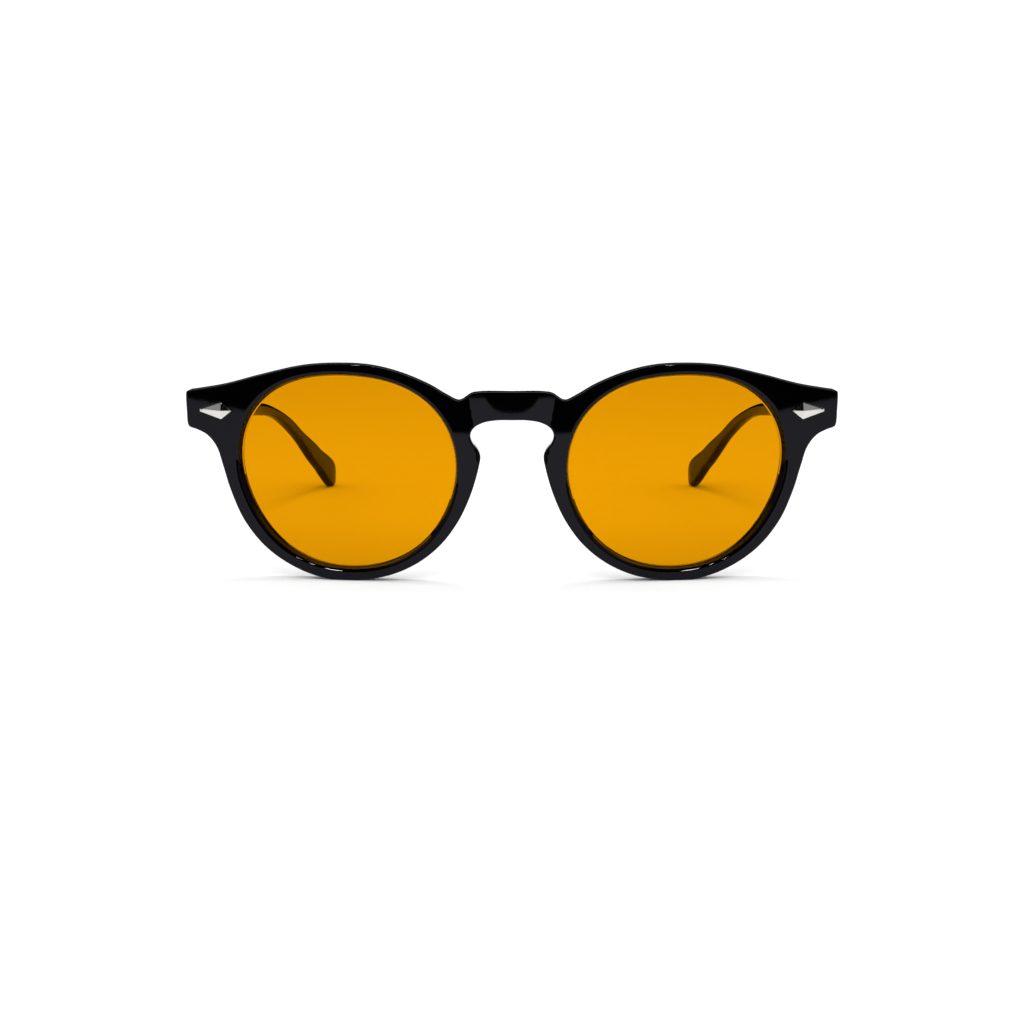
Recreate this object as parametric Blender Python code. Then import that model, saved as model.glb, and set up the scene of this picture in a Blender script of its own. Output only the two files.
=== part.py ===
"""Full-rim sunglasses with folding temples, one named object for each piece that comes apart on a bench.

World frame: +Z up, the front looks towards -Y, the temples run towards +Y, the wearer's right is -X.
The glasses stand on the lowest points of the rims and on the temple tips, at z = 0, and the origin is
below the middle of their depth and width. Sizes are in millimetres until add_object scales them.

Depth is measured back from the front's curved front face, whose middle is at y = 0 before the last step.
"""

import math

import bmesh
import bpy
from mathutils import Matrix, Vector

MM = 0.001

# Front: an acetate sheet cut to an outline and bent round a vertical cylinder.
FRONT_RADIUS = 260.0
FRONT_THICKNESS = 4.2
FRONT_EDGE = 0.6
OUTLINE_STEP = 3.2
SLICE_WIDTH = 6.1

# Half of the front's outline as (x, z), from the top of the bridge out to the end piece, under the rim
# and up the keyhole to the underside of the bridge. The other half is its mirror image.
HALF_OUTLINE = (
    (0.0, 42.4), (6.6, 42.4), (8.9, 42.05), (11.6, 40.5), (14.2, 41.6), (18.2, 43.9),
    (24.5, 46.5), (31.2, 48.1), (38.5, 48.45), (46.5, 47.85), (56.0, 45.65), (64.5, 43.35),
    (71.0, 42.15), (72.6, 41.85), (73.05, 41.5), (73.15, 40.8), (73.05, 37.2), (72.9, 34.5),
    (72.55, 33.75), (70.7, 33.1), (68.4, 31.95), (66.3, 29.4), (64.9, 25.2), (63.2, 19.6),
    (60.1, 12.75), (54.9, 6.6), (47.6, 2.1), (40.2, 0.0), (34.8, 0.0), (27.3, 1.3),
    (20.8, 4.3), (15.65, 8.55), (11.75, 13.9), (9.15, 19.55), (7.45, 25.2), (6.95, 28.2),
    (7.45, 29.6), (8.75, 31.3), (9.15, 32.9), (8.45, 34.4), (6.4, 35.6), (3.4, 36.15),
    (0.0, 36.2),
)

# Lens openings: a mean radius, and the size of one to five waves of it round the opening, as cosine and sine.
LENS_X = 37.0
LENS_Z = 24.0
LENS_RADIUS = 22.94
LENS_WAVES = ((-0.275, 0.811), (1.334, 0.477), (-0.096, 0.592), (-0.253, 0.069), (-0.007, 0.062))
LENS_POINTS = 60

# Section of a lens opening, and of the lens in it, as (distance outside the opening, depth).
OPENING_SECTION = (
    (1.17, 0.0), (0.43, 0.31), (0.13, 0.92), (0.0, 1.95), (0.85, 2.8), (0.2, 3.45), (0.2, 3.9), (0.5, 4.2),
)
LENS_SECTION = ((-0.25, 1.9), (0.5, 2.8), (-0.25, 3.7))

# Nose pads: half-ellipsoids on the back of the nasal rims.
GLUE_GAP = 0.12
PAD_X = 10.6
PAD_Z = 21.2
PAD_HALF_LENGTH = 7.3
PAD_HALF_WIDTH = 1.65
PAD_LEAN = math.radians(15.9)
PAD_DEPTH = 3.4
PAD_FLARE = 0.15
PAD_LEVELS = (0.0, 0.35, 0.65, 0.86, 0.97)
PAD_POINTS = 20

# Hinge, with a vertical axis behind the end piece.
HINGE_X = 67.5
HINGE_Y = 14.66
HINGE_Z = 37.5
KNUCKLE_RADIUS = 1.4
KNUCKLE_BORE = 0.8
KNUCKLE_HEIGHT = 1.25
KNUCKLE_GAP = 0.1
KNUCKLES = 5
SCREW_RADIUS = 0.65
SCREW_HEAD_RADIUS = 1.15
SCREW_HEAD_HEIGHT = 0.65
SCREW_HEAD_EDGE = 0.2
SCREW_SLOT_WIDTH = 0.36
SCREW_SLOT_DEPTH = 0.35
BARREL_SIDES = 20
BORE_SIDES = 16
PLATE = 0.9
TONGUE_INSET = 0.15
TONGUE_REACH = 0.6
FRONT_PLATE_X = (60.9, 66.0)
FRONT_PLATE_HALF_HEIGHT = 3.1

# Plaque on the end piece, held by two pins that pass through it and the hinge plate.
PLAQUE_X = 64.95
PLAQUE_TAIL = 4.9
PLAQUE_TAIL_HALF_HEIGHT = 0.3
PLAQUE_NOSE = 2.45
PLAQUE_HALF_HEIGHT = 1.95
PLAQUE_RIM = 0.3
PLAQUE_BEVEL = 0.15
PLAQUE_FACETS_SIZE = 0.88
PLAQUE_HEIGHT = 1.15
PLAQUE_GAP = 0.12
PIN_X = (63.5, 65.1)
PIN_RADIUS = 0.4
PIN_HOLE_RADIUS = 0.52
PIN_SIDES = 10

# Temple: its centre line runs straight back, turns down on an arc, then runs straight to the tip,
# while in plan it leans in slightly and then curves in towards the head.
TEMPLE_GAP = 0.25
TEMPLE_X = 71.0
TEMPLE_Z = 37.85
TEMPLE_STRAIGHT = 81.0
TEMPLE_ARC_RADIUS = 75.0
TEMPLE_SLOPE = math.radians(6.5)
TIP_SLOPE = math.radians(31.5)
TIP_HALF_HEIGHT = 4.2
TIP_REACH = 4.2
TEMPLE_LEAN = 0.0231
CURL_START = 66.0
CURL_INWARD = 13.2
CURL_POWER = 1.35
# (distance along the centre line, half height, half thickness)
TEMPLE_SECTIONS = (
    (0.0, 3.95, 1.9), (23.5, 3.45, 1.85), (51.5, 2.65, 1.7), (78.5, 1.7, 1.3),
    (93.5, 1.45, 1.25), (112.0, 1.85, 1.25), (129.0, 3.15, 1.3), (140.0, TIP_HALF_HEIGHT, 1.3),
)
TEMPLE_CORNER = 0.8
MOST_CORNER = 0.55
CORNER_CUT = 0.3
TEMPLE_RINGS = 22
TIP_RINGS = 4
CHANNEL_RADIUS = 0.75
CHANNEL_SIDES = 8
CHANNEL_END = 9.0
WIRE_RADIUS = 0.5
WIRE_START = 0.6

# Plate and rivets on the temple's inner face.
TEMPLE_PLATE_START = 1.8
TEMPLE_PLATE_LENGTH = 9.4
TEMPLE_PLATE_HALF_HEIGHT = 3.0
RIVET_BACK = 6.9
RIVET_OFFSET = 2.2
RIVET_RADIUS = 0.6
RIVET_HOLE_RADIUS = 0.72
RIVET_DEPTH = 2.3
RIVET_HOLE_SPARE = 0.3
RIVET_HEAD_RADIUS = 0.95
RIVET_HEAD_HEIGHT = 0.3
RIVET_SIDES = 12
CUTTER_PROUD = 3.0

SIDES = (("right", -1), ("left", 1))


def clear_scene():
    for obj in list(bpy.data.objects):
        bpy.data.objects.remove(obj, do_unlink=True)


def material(name, colour, roughness, metallic=0.0, transmission=0.0):
    made = bpy.data.materials.new(name)
    made.use_nodes = True
    shader = made.node_tree.nodes["Principled BSDF"]
    shader.inputs["Base Color"].default_value = (*colour, 1.0)
    shader.inputs["Roughness"].default_value = roughness
    shader.inputs["Metallic"].default_value = metallic
    shader.inputs["Transmission Weight"].default_value = transmission
    made.diffuse_color = (*colour, 1.0)
    return made


def add_empty(name, place, parent=None):
    empty = bpy.data.objects.new(name, None)
    empty.empty_display_size = 5 * MM
    empty.location = Vector(place) * MM
    empty.parent = parent
    bpy.context.scene.collection.objects.link(empty)
    return empty


def add_object(name, bm, finish, parent, pivot=(0.0, 0.0, 0.0), side=1):
    """The bmesh, in millimetres and drawn for the left side, as an object whose origin is the pivot."""
    bmesh.ops.remove_doubles(bm, verts=bm.verts, dist=1e-5)
    bmesh.ops.recalc_face_normals(bm, faces=bm.faces)
    bmesh.ops.translate(bm, vec=-Vector(pivot), verts=bm.verts)
    bmesh.ops.scale(bm, vec=(side * MM, MM, MM), verts=bm.verts)
    if side < 0:
        bmesh.ops.reverse_faces(bm, faces=bm.faces)
    mesh = bpy.data.meshes.new(name)
    bm.to_mesh(mesh)
    bm.free()
    mesh.materials.append(finish)
    mesh.shade_smooth()
    mesh.set_sharp_from_angle(angle=math.radians(35))
    obj = bpy.data.objects.new(name, mesh)
    obj.parent = parent
    bpy.context.scene.collection.objects.link(obj)
    return obj


def boolean(obj, cutter, operation):
    """Cut or join another object, which then only shapes this one."""
    modifier = obj.modifiers.new(operation.lower() + "_" + cutter.name, "BOOLEAN")
    modifier.operation = operation
    modifier.object = cutter
    cutter.hide_render = True
    cutter.display_type = "WIRE"


# Curves


def closed_curve(points, step):
    """Points no more than about step apart on a smooth closed curve (centripetal Catmull-Rom)."""
    count = len(points)
    sampled = []
    for i in range(count):
        p0, p1, p2, p3 = (Vector(points[(i + k) % count]) for k in (-1, 0, 1, 2))
        t1 = math.sqrt((p1 - p0).length)
        t2 = t1 + math.sqrt((p2 - p1).length)
        t3 = t2 + math.sqrt((p3 - p2).length)
        pieces = max(1, math.ceil((p2 - p1).length / step))
        for k in range(pieces):
            t = t1 + (t2 - t1) * k / pieces
            a1 = p0.lerp(p1, t / t1)
            a2 = p1.lerp(p2, (t - t1) / (t2 - t1))
            a3 = p2.lerp(p3, (t - t2) / (t3 - t2))
            b1 = a1.lerp(a2, t / t2)
            b2 = a2.lerp(a3, (t - t1) / (t3 - t1))
            sampled.append(b1.lerp(b2, (t - t1) / (t2 - t1)))
    return sampled


def offset_loop(loop, distance):
    """A clockwise or anticlockwise loop moved outwards by the distance."""
    count = len(loop)
    area = sum(loop[i - 1].cross(loop[i]) for i in range(count))
    turn = math.copysign(1.0, area)
    moved = []
    for i, point in enumerate(loop):
        along = loop[(i + 1) % count] - loop[i - 1]
        outward = Vector((along.y, -along.x)).normalized() * turn
        moved.append(point + outward * distance)
    return moved


def front_outline():
    """Both halves, with the rims' lowest stretches level, because the glasses stand on them."""
    half = list(HALF_OUTLINE)
    other_half = [(-x, z) for x, z in half[-2:0:-1]]
    loop = closed_curve(half + other_half, OUTLINE_STEP)
    return [Vector((p.x, max(p.y, 0.0))) for p in loop]


def opening_outline(side=1):
    """The lens opening, anticlockwise in x and z on the left side."""
    loop = []
    for k in range(LENS_POINTS):
        angle = 2 * math.pi * (k + 0.5) / LENS_POINTS
        radius = LENS_RADIUS
        for count, (across, up) in enumerate(LENS_WAVES, 1):
            radius += across * math.cos(count * angle) + up * math.sin(count * angle)
        loop.append(Vector((side * (LENS_X + radius * math.cos(angle)), LENS_Z + radius * math.sin(angle))))
    return loop


def circle(x, z, radius, sides):
    angles = [2 * math.pi * (k + 0.5) / sides for k in range(sides)]
    return [Vector((x + radius * math.cos(a), z + radius * math.sin(a))) for a in angles]


def wrap(x):
    """How far back the front's curved face lies at x."""
    return x * x / (2 * FRONT_RADIUS)


def tangent_wrap(x, at):
    """The same on the plane that touches the curved face at another x."""
    return wrap(at) + at / FRONT_RADIUS * (x - at)


# Mesh building


def add_ring(bm, points):
    return [bm.verts.new(point) for point in points]


def skin(bm, rings):
    """Quads between each ring and the next."""
    for near, far in zip(rings, rings[1:]):
        count = len(near)
        for i in range(count):
            j = (i + 1) % count
            bm.faces.new((near[i], near[j], far[j], far[i]))


def ring_edges(bm, ring):
    return [bm.edges.get((ring[i - 1], ring[i])) or bm.edges.new((ring[i - 1], ring[i])) for i in range(len(ring))]


def fill(bm, rings):
    """Close the flat area that lies inside the first ring and outside the others."""
    edges = [edge for ring in rings for edge in ring_edges(bm, ring)]
    bmesh.ops.triangle_fill(bm, use_beauty=True, use_dissolve=False, edges=edges)


def slice_and_bend(bm, low, high):
    """Cut the flat mesh across at even steps in x, then bend it round the front's cylinder."""
    count = math.ceil((high - low) / SLICE_WIDTH)
    for k in range(1, count):
        x = low + (high - low) * k / count
        geometry = bm.verts[:] + bm.edges[:] + bm.faces[:]
        bmesh.ops.bisect_plane(bm, geom=geometry, dist=1e-4, plane_co=(x, 0, 0), plane_no=(1, 0, 0))
    for vert in bm.verts:
        vert.co.y += wrap(vert.co.x)


def section_rings(bm, loop, section, curvature=0.0):
    """A section swept round a loop. With the front's curvature, its walls end up square to the bent face."""
    return [
        add_ring(bm, [(p.x * (1 - curvature * depth), depth, p.y) for p in offset_loop(loop, distance)])
        for distance, depth in section
    ]


def prism(loop_pairs, holes, low, high):
    """A solid between two heights, from a plan outline given as (x, y) pairs, with round holes in it."""
    bm = bmesh.new()
    plans = [[Vector(pair) for pair in loop_pairs]] + holes
    bottoms = []
    tops = []
    for plan in plans:
        bottom = add_ring(bm, [(p.x, p.y, low) for p in plan])
        top = add_ring(bm, [(p.x, p.y, high) for p in plan])
        skin(bm, [bottom, top])
        bottoms.append(bottom)
        tops.append(top)
    fill(bm, bottoms)
    fill(bm, tops)
    return bm


def turned(profile, sides, place, lay=None):
    """A solid of revolution about Z from (radius, height) pairs, laid over by a rotation if given."""
    bm = bmesh.new()
    rings = [add_ring(bm, [(p.x, p.y, height) for p in circle(0, 0, radius, sides)]) for radius, height in profile]
    skin(bm, rings)
    bm.faces.new(rings[0])
    bm.faces.new(rings[-1])
    turn = lay or Matrix.Identity(4)
    bmesh.ops.transform(bm, matrix=Matrix.Translation(place) @ turn, verts=bm.verts)
    return bm


# Front pieces


def build_front(finish, parent):
    bm = bmesh.new()
    edge = FRONT_EDGE
    back = FRONT_THICKNESS
    outer_section = ((-edge, 0.0), (0.0, edge), (0.0, back - edge), (-edge, back))
    outer = section_rings(bm, front_outline(), outer_section)
    skin(bm, outer)
    fronts = [outer[0]]
    backs = [outer[-1]]
    for _, side in SIDES:
        opening = section_rings(bm, opening_outline(side), OPENING_SECTION, 1 / FRONT_RADIUS)
        holes = [
            section_rings(bm, circle(side * x, HINGE_Z, PIN_HOLE_RADIUS, PIN_SIDES), ((0, 0), (0, back)))
            for x in PIN_X
        ]
        for rings in [opening] + holes:
            skin(bm, rings)
            fronts.append(rings[0])
            backs.append(rings[-1])
    fill(bm, fronts)
    fill(bm, backs)
    half_width = max(x for x, _ in HALF_OUTLINE)
    slice_and_bend(bm, -half_width, half_width)
    return add_object("front_frame", bm, finish, parent)


def build_lens(name, side, finish, parent):
    bm = bmesh.new()
    opening = opening_outline()
    rings = section_rings(bm, opening, LENS_SECTION, 1 / FRONT_RADIUS)
    skin(bm, rings)
    fill(bm, [rings[0]])
    fill(bm, [rings[-1]])
    slice_and_bend(bm, min(point.x for point in opening), max(point.x for point in opening))
    return add_object(name, bm, finish, parent, side=side)


def build_nose_pad(name, side, finish, parent):
    bm = bmesh.new()
    rings = []
    for height in PAD_LEVELS:
        spread = math.sqrt(1 - height * height)
        depth = FRONT_THICKNESS + GLUE_GAP + PAD_DEPTH * height
        ring = []
        for k in range(PAD_POINTS):
            angle = 2 * math.pi * k / PAD_POINTS
            across = PAD_HALF_WIDTH * spread * math.cos(angle)
            up = PAD_HALF_LENGTH * spread * math.sin(angle)
            x = PAD_X + across * math.cos(PAD_LEAN) - up * math.sin(PAD_LEAN) + PAD_FLARE * PAD_DEPTH * height
            z = PAD_Z + across * math.sin(PAD_LEAN) + up * math.cos(PAD_LEAN)
            ring.append((x, wrap(x) + depth, z))
        rings.append(add_ring(bm, ring))
    skin(bm, rings)
    bm.faces.new(rings[0])
    bm.faces.new(rings[-1])
    return add_object(name, bm, finish, parent, side=side)


def build_plaque(name, side, finish, parent):
    """A kite with a blunt tail, a bevelled border and facets that meet at one peak, and the pins behind it."""
    kite = (
        (-PLAQUE_NOSE, 0.0), (0.0, PLAQUE_HALF_HEIGHT), (PLAQUE_TAIL, PLAQUE_TAIL_HALF_HEIGHT),
        (PLAQUE_TAIL, -PLAQUE_TAIL_HALF_HEIGHT), (0.0, -PLAQUE_HALF_HEIGHT),
    )
    levels = ((1.0, 0.0), (1.0, PLAQUE_RIM), (PLAQUE_FACETS_SIZE, PLAQUE_RIM + PLAQUE_BEVEL))

    def place(u, lift, z):
        x = PLAQUE_X + u
        return (x, tangent_wrap(x, PLAQUE_X) - PLAQUE_GAP - lift, HINGE_Z + z)

    bm = bmesh.new()
    rings = [add_ring(bm, [place(u * size, lift, z * size) for u, z in kite]) for size, lift in levels]
    skin(bm, rings)
    bm.faces.new(rings[0])
    peak = bm.verts.new(place(0.0, PLAQUE_HEIGHT, 0.0))
    facets = rings[-1]
    for i, corner in enumerate(facets):
        bm.faces.new((facets[i - 1], corner, peak))
    plaque = add_object(name, bm, finish, parent, side=side)
    for number, x in enumerate(PIN_X, 1):
        start = tangent_wrap(x, PLAQUE_X) - PLAQUE_GAP - PLAQUE_RIM
        end = wrap(x) + FRONT_THICKNESS + GLUE_GAP + PLATE
        profile = ((PIN_RADIUS, 0.0), (PIN_RADIUS, end - start))
        lay = Matrix.Rotation(-math.pi / 2, 4, "X")
        pin = turned(profile, PIN_SIDES, (x, start, HINGE_Z), lay)
        boolean(plaque, add_object(f"{name}_pin_{number}", pin, finish, parent, side=side), "UNION")
    return plaque


# Hinge


def knuckle_levels(first):
    """Bottom and top of every second knuckle, from the lowest (first = 0) or the next one up."""
    pitch = KNUCKLE_HEIGHT + KNUCKLE_GAP
    lowest = HINGE_Z - (KNUCKLES * pitch - KNUCKLE_GAP) / 2
    return [(lowest + k * pitch, lowest + k * pitch + KNUCKLE_HEIGHT) for k in range(first, KNUCKLES, 2)]


def convex_outline(points):
    """The convex hull of plan points, anticlockwise."""
    ordered = sorted({(round(x, 5), round(y, 5)) for x, y in points})

    def chain(run):
        kept = []
        for p in run:
            while len(kept) > 1:
                (ax, ay), (bx, by) = kept[-2:]
                if (bx - ax) * (p[1] - ay) - (by - ay) * (p[0] - ax) > 0:
                    break
                kept.pop()
            kept.append(p)
        return kept[:-1]

    return chain(ordered) + chain(ordered[::-1])


def add_knuckles(leaf, name, first, root, finish, parent, pivot, side):
    """Barrels round the axis, each with a tongue that reaches into the plate."""
    barrel = [(p.x, p.y) for p in circle(HINGE_X, HINGE_Y, KNUCKLE_RADIUS, BARREL_SIDES)]
    outline = convex_outline(barrel + list(root))
    for number, (low, high) in enumerate(knuckle_levels(first), 1):
        bore = circle(HINGE_X, HINGE_Y, KNUCKLE_BORE, BORE_SIDES)
        bm = prism(outline, [bore], low, high)
        knuckle = add_object(f"{name}_knuckle_{number}", bm, finish, parent, pivot, side)
        boolean(leaf, knuckle, "UNION")


def build_front_leaf(name, side, finish, parent):
    low, high = FRONT_PLATE_X
    middle = (low + high) / 2
    near = FRONT_THICKNESS + GLUE_GAP
    far = near + PLATE
    half = FRONT_PLATE_HALF_HEIGHT
    bm = bmesh.new()
    rings = []
    for depth in (near, far):
        corners = ((low, -half), (high, -half), (high, half), (low, half))
        rings.append([(x, tangent_wrap(x, middle) + depth, HINGE_Z + z) for x, z in corners])
    plate = [add_ring(bm, ring) for ring in rings]
    skin(bm, plate)
    faces = [[plate[0]], [plate[1]]]
    for x_pin in PIN_X:
        loop = circle(x_pin, HINGE_Z, PIN_HOLE_RADIUS, PIN_SIDES)
        hole = [add_ring(bm, [(p.x, tangent_wrap(p.x, middle) + depth, p.y) for p in loop]) for depth in (near, far)]
        skin(bm, hole)
        faces[0].append(hole[0])
        faces[1].append(hole[1])
    for rings in faces:
        fill(bm, rings)
    leaf = add_object(name, bm, finish, parent, side=side)
    root = [
        (x, tangent_wrap(x, middle) + depth)
        for x in (high - TONGUE_REACH, high - TONGUE_INSET)
        for depth in (near + TONGUE_INSET, far - TONGUE_INSET)
    ]
    add_knuckles(leaf, name, 1, root, finish, parent, (0, 0, 0), side)
    return leaf


def build_screw(name, side, finish, parent):
    pitch = KNUCKLE_HEIGHT + KNUCKLE_GAP
    half = (KNUCKLES * pitch - KNUCKLE_GAP) / 2
    seat = half + KNUCKLE_GAP
    top = seat + SCREW_HEAD_HEIGHT
    profile = (
        (SCREW_RADIUS, -half), (SCREW_RADIUS, seat), (SCREW_HEAD_RADIUS, seat),
        (SCREW_HEAD_RADIUS, top - SCREW_HEAD_EDGE), (SCREW_HEAD_RADIUS - SCREW_HEAD_EDGE, top),
    )
    solid = turned(profile, BORE_SIDES, (HINGE_X, HINGE_Y, HINGE_Z))
    screw = add_object(name, solid, finish, parent, side=side)
    reach = 2 * SCREW_HEAD_RADIUS
    half = SCREW_SLOT_WIDTH / 2
    plan = [(HINGE_X + x, HINGE_Y + y) for x, y in ((-reach, -half), (reach, -half), (reach, half), (-reach, half))]
    slot = prism(plan, [], HINGE_Z + top - SCREW_SLOT_DEPTH, HINGE_Z + top + SCREW_HEAD_HEIGHT)
    boolean(screw, add_object(name + "_slot", slot, finish, parent, side=side), "DIFFERENCE")
    return screw


# Temple


def temple_start():
    """Where the centre line leaves the end piece."""
    return wrap(TEMPLE_X) + FRONT_THICKNESS + TEMPLE_GAP


def temple_arc_length():
    return TEMPLE_ARC_RADIUS * (TIP_SLOPE - TEMPLE_SLOPE)


def temple_length():
    """The centre line's length as far as the middle of the round tip, which touches the ground."""
    arc_drop = TEMPLE_ARC_RADIUS * (math.cos(TEMPLE_SLOPE) - math.cos(TIP_SLOPE))
    tip_drop = math.hypot(TIP_REACH * math.sin(TIP_SLOPE), TIP_HALF_HEIGHT * math.cos(TIP_SLOPE))
    left = TEMPLE_Z - TEMPLE_STRAIGHT * math.sin(TEMPLE_SLOPE) - arc_drop - tip_drop
    return TEMPLE_STRAIGHT + temple_arc_length() + left / math.sin(TIP_SLOPE)


def temple_point(s):
    """The centre line's point and downward slope at a distance along it."""
    on_straight = min(s, TEMPLE_STRAIGHT)
    on_arc = min(max(s - TEMPLE_STRAIGHT, 0.0), temple_arc_length())
    on_tip = max(s - TEMPLE_STRAIGHT - temple_arc_length(), 0.0)
    slope = TEMPLE_SLOPE + on_arc / TEMPLE_ARC_RADIUS
    y = temple_start() + on_straight * math.cos(TEMPLE_SLOPE) + on_tip * math.cos(TIP_SLOPE)
    y += TEMPLE_ARC_RADIUS * (math.sin(slope) - math.sin(TEMPLE_SLOPE))
    z = TEMPLE_Z - on_straight * math.sin(TEMPLE_SLOPE) - on_tip * math.sin(TIP_SLOPE)
    z -= TEMPLE_ARC_RADIUS * (math.cos(TEMPLE_SLOPE) - math.cos(slope))
    curl = max(s - CURL_START, 0.0) / (temple_length() - CURL_START)
    x = TEMPLE_X - TEMPLE_LEAN * s - CURL_INWARD * curl ** CURL_POWER
    return Vector((x, y, z)), slope


def temple_size(s):
    """Half height and half thickness at a distance along the centre line."""
    for (s0, h0, t0), (s1, h1, t1) in zip(TEMPLE_SECTIONS, TEMPLE_SECTIONS[1:]):
        if s <= s1:
            break
    mix = min(max((s - s0) / (s1 - s0), 0.0), 1.0)
    ease = mix * mix * (3 - 2 * mix)
    return h0 + (h1 - h0) * ease, t0 + (t1 - t0) * mix


def temple_frame(s):
    """Axes across the temple at s: outwards, upwards, and the centre."""
    step = 0.01
    centre, slope = temple_point(s)
    ahead, _ = temple_point(s + step)
    behind, _ = temple_point(max(s - step, 0.0))
    along = (ahead - behind).normalized()
    up = Vector((0.0, math.sin(slope), math.cos(slope)))
    out = along.cross(up).normalized()
    return centre, out, out.cross(along)


def temple_ring(s, half_height, half_thickness):
    """A rectangle with cut corners across the temple."""
    centre, out, up = temple_frame(s)
    cut = min(TEMPLE_CORNER, MOST_CORNER * half_height, MOST_CORNER * half_thickness)
    ring = []
    for a, b in ((1, 1), (-1, 1), (-1, -1), (1, -1)):
        near_side = (a * half_thickness, b * (half_height - cut))
        near_edge = (a * (half_thickness - cut), b * half_height)
        middle = (a * (half_thickness - CORNER_CUT * cut), b * (half_height - CORNER_CUT * cut))
        pairs = (near_side, middle, near_edge) if a * b > 0 else (near_edge, middle, near_side)
        ring.extend(centre + out * sideways + up * upwards for sideways, upwards in pairs)
    return ring


def square_to_end_piece(ring):
    """Move the first ring's points along Y on to the plane that faces the back of the end piece."""
    return [Vector((p.x, tangent_wrap(p.x, TEMPLE_X) + FRONT_THICKNESS + TEMPLE_GAP, p.z)) for p in ring]


def tube_ring(s, radius):
    centre, out, up = temple_frame(s)
    return [centre + out * p.x + up * p.y for p in circle(0, 0, radius, CHANNEL_SIDES)]


def temple_stations(start, end, count):
    return [start + (end - start) * k / (count - 1) for k in range(count)]


def build_temple(name, side, finish, parent, pivot):
    bm = bmesh.new()
    length = temple_length()
    rings = [temple_ring(s, *temple_size(s)) for s in temple_stations(0.0, length, TEMPLE_RINGS)]
    rings[0] = square_to_end_piece(rings[0])
    half_height, half_thickness = temple_size(length)
    for k in range(1, TIP_RINGS + 1):
        angle = math.pi / 2 * k / (TIP_RINGS + 0.5)
        s = length + TIP_REACH * math.sin(angle)
        rings.append(temple_ring(s, half_height * math.cos(angle), half_thickness * math.cos(angle) ** 0.5))
    outside = [add_ring(bm, ring) for ring in rings]
    skin(bm, outside)
    bm.faces.new(outside[-1])
    stations = temple_stations(0.0, length - CHANNEL_END, TEMPLE_RINGS)
    bore = [tube_ring(s, CHANNEL_RADIUS) for s in stations]
    bore[0] = square_to_end_piece(bore[0])
    inside = [add_ring(bm, ring) for ring in bore]
    skin(bm, inside)
    bm.faces.new(inside[-1])
    fill(bm, [outside[0], inside[0]])
    for vert in bm.verts:
        vert.co.z = max(vert.co.z, 0.0)
    temple = add_object(name, bm, finish, parent, pivot, side)
    for place, bm in rivet_solids(RIVET_HOLE_RADIUS, RIVET_DEPTH + RIVET_HOLE_SPARE, CUTTER_PROUD):
        boolean(temple, add_object(f"{name}_hole_{place}", bm, finish, parent, pivot, side), "DIFFERENCE")
    return temple


def inner_face(s):
    """The temple's frame at s, with its centre moved to the inner face."""
    centre, out, up = temple_frame(s)
    return centre - out * temple_size(s)[1], out, up


def rivet_station():
    return HINGE_Y + RIVET_BACK - temple_start()


def rivet_solids(radius, depth, proud, head_radius=None):
    """The two rivets, or their holes: cylinders from outside the plate to a depth in the temple."""
    face, out, up = inner_face(rivet_station())
    along = up.cross(out)
    turn = Matrix((out, along, up)).transposed().to_4x4() @ Matrix.Rotation(math.pi / 2, 4, "Y")
    for place, height in (("upper", RIVET_OFFSET), ("lower", -RIVET_OFFSET)):
        profile = [(radius, -proud), (radius, depth)]
        if head_radius:
            crown = -proud - RIVET_HEAD_HEIGHT
            head = [(radius, crown), (head_radius, crown + RIVET_HEAD_HEIGHT / 2), (head_radius, -proud)]
            profile = head + profile
        yield place, turned(profile, RIVET_SIDES, face + up * height, turn)


def build_rivets(side_name, side, finish, parent, pivot):
    proud = 2 * GLUE_GAP + PLATE
    for place, bm in rivet_solids(RIVET_RADIUS, RIVET_DEPTH, proud, RIVET_HEAD_RADIUS):
        add_object(f"temple_rivet_{place}_{side_name}", bm, finish, parent, pivot, side)


def build_core_wire(name, side, finish, parent, pivot):
    bm = bmesh.new()
    stations = temple_stations(WIRE_START, temple_length() - CHANNEL_END - WIRE_START, TEMPLE_RINGS)
    rings = [add_ring(bm, tube_ring(s, WIRE_RADIUS)) for s in stations]
    skin(bm, rings)
    bm.faces.new(rings[0])
    bm.faces.new(rings[-1])
    return add_object(name, bm, finish, parent, pivot, side)


def build_temple_leaf(name, side, finish, parent, pivot):
    start = HINGE_Y + TEMPLE_PLATE_START - temple_start()
    half = TEMPLE_PLATE_HALF_HEIGHT
    bm = bmesh.new()
    corners = []
    for s in (start, start + TEMPLE_PLATE_LENGTH):
        face, out, up = inner_face(s)
        for lift in (GLUE_GAP, GLUE_GAP + PLATE):
            corners.append([face - out * lift + up * height for height in (-half, half)])
    (a, b), (c, d), (e, f), (g, h) = corners
    plate = [add_ring(bm, ring) for ring in ((a, b, d, c), (e, f, h, g))]
    skin(bm, plate)
    bm.faces.new(plate[0])
    bm.faces.new(plate[1])
    leaf = add_object(name, bm, finish, parent, pivot, side)
    for place, bm in rivet_solids(RIVET_HOLE_RADIUS, CUTTER_PROUD / 2, CUTTER_PROUD):
        boolean(leaf, add_object(f"{name}_hole_{place}", bm, finish, parent, pivot, side), "DIFFERENCE")
    root = []
    for s in (start + TONGUE_INSET, start + TONGUE_REACH):
        face, out, _ = inner_face(s)
        for lift in (GLUE_GAP + TONGUE_INSET, GLUE_GAP + PLATE - TONGUE_INSET):
            point = face - out * lift
            root.append((point.x, point.y))
    add_knuckles(leaf, name, 0, root, finish, parent, pivot, side)
    return leaf


def depth_of_everything():
    """How far back the object reaches, in metres, with each piece as its parents place it."""
    bpy.context.view_layer.update()
    corners = [
        obj.matrix_world @ vert.co
        for obj in bpy.data.objects
        if obj.type == "MESH" and not obj.hide_render
        for vert in obj.data.vertices
    ]
    return max(point.y for point in corners)


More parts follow.
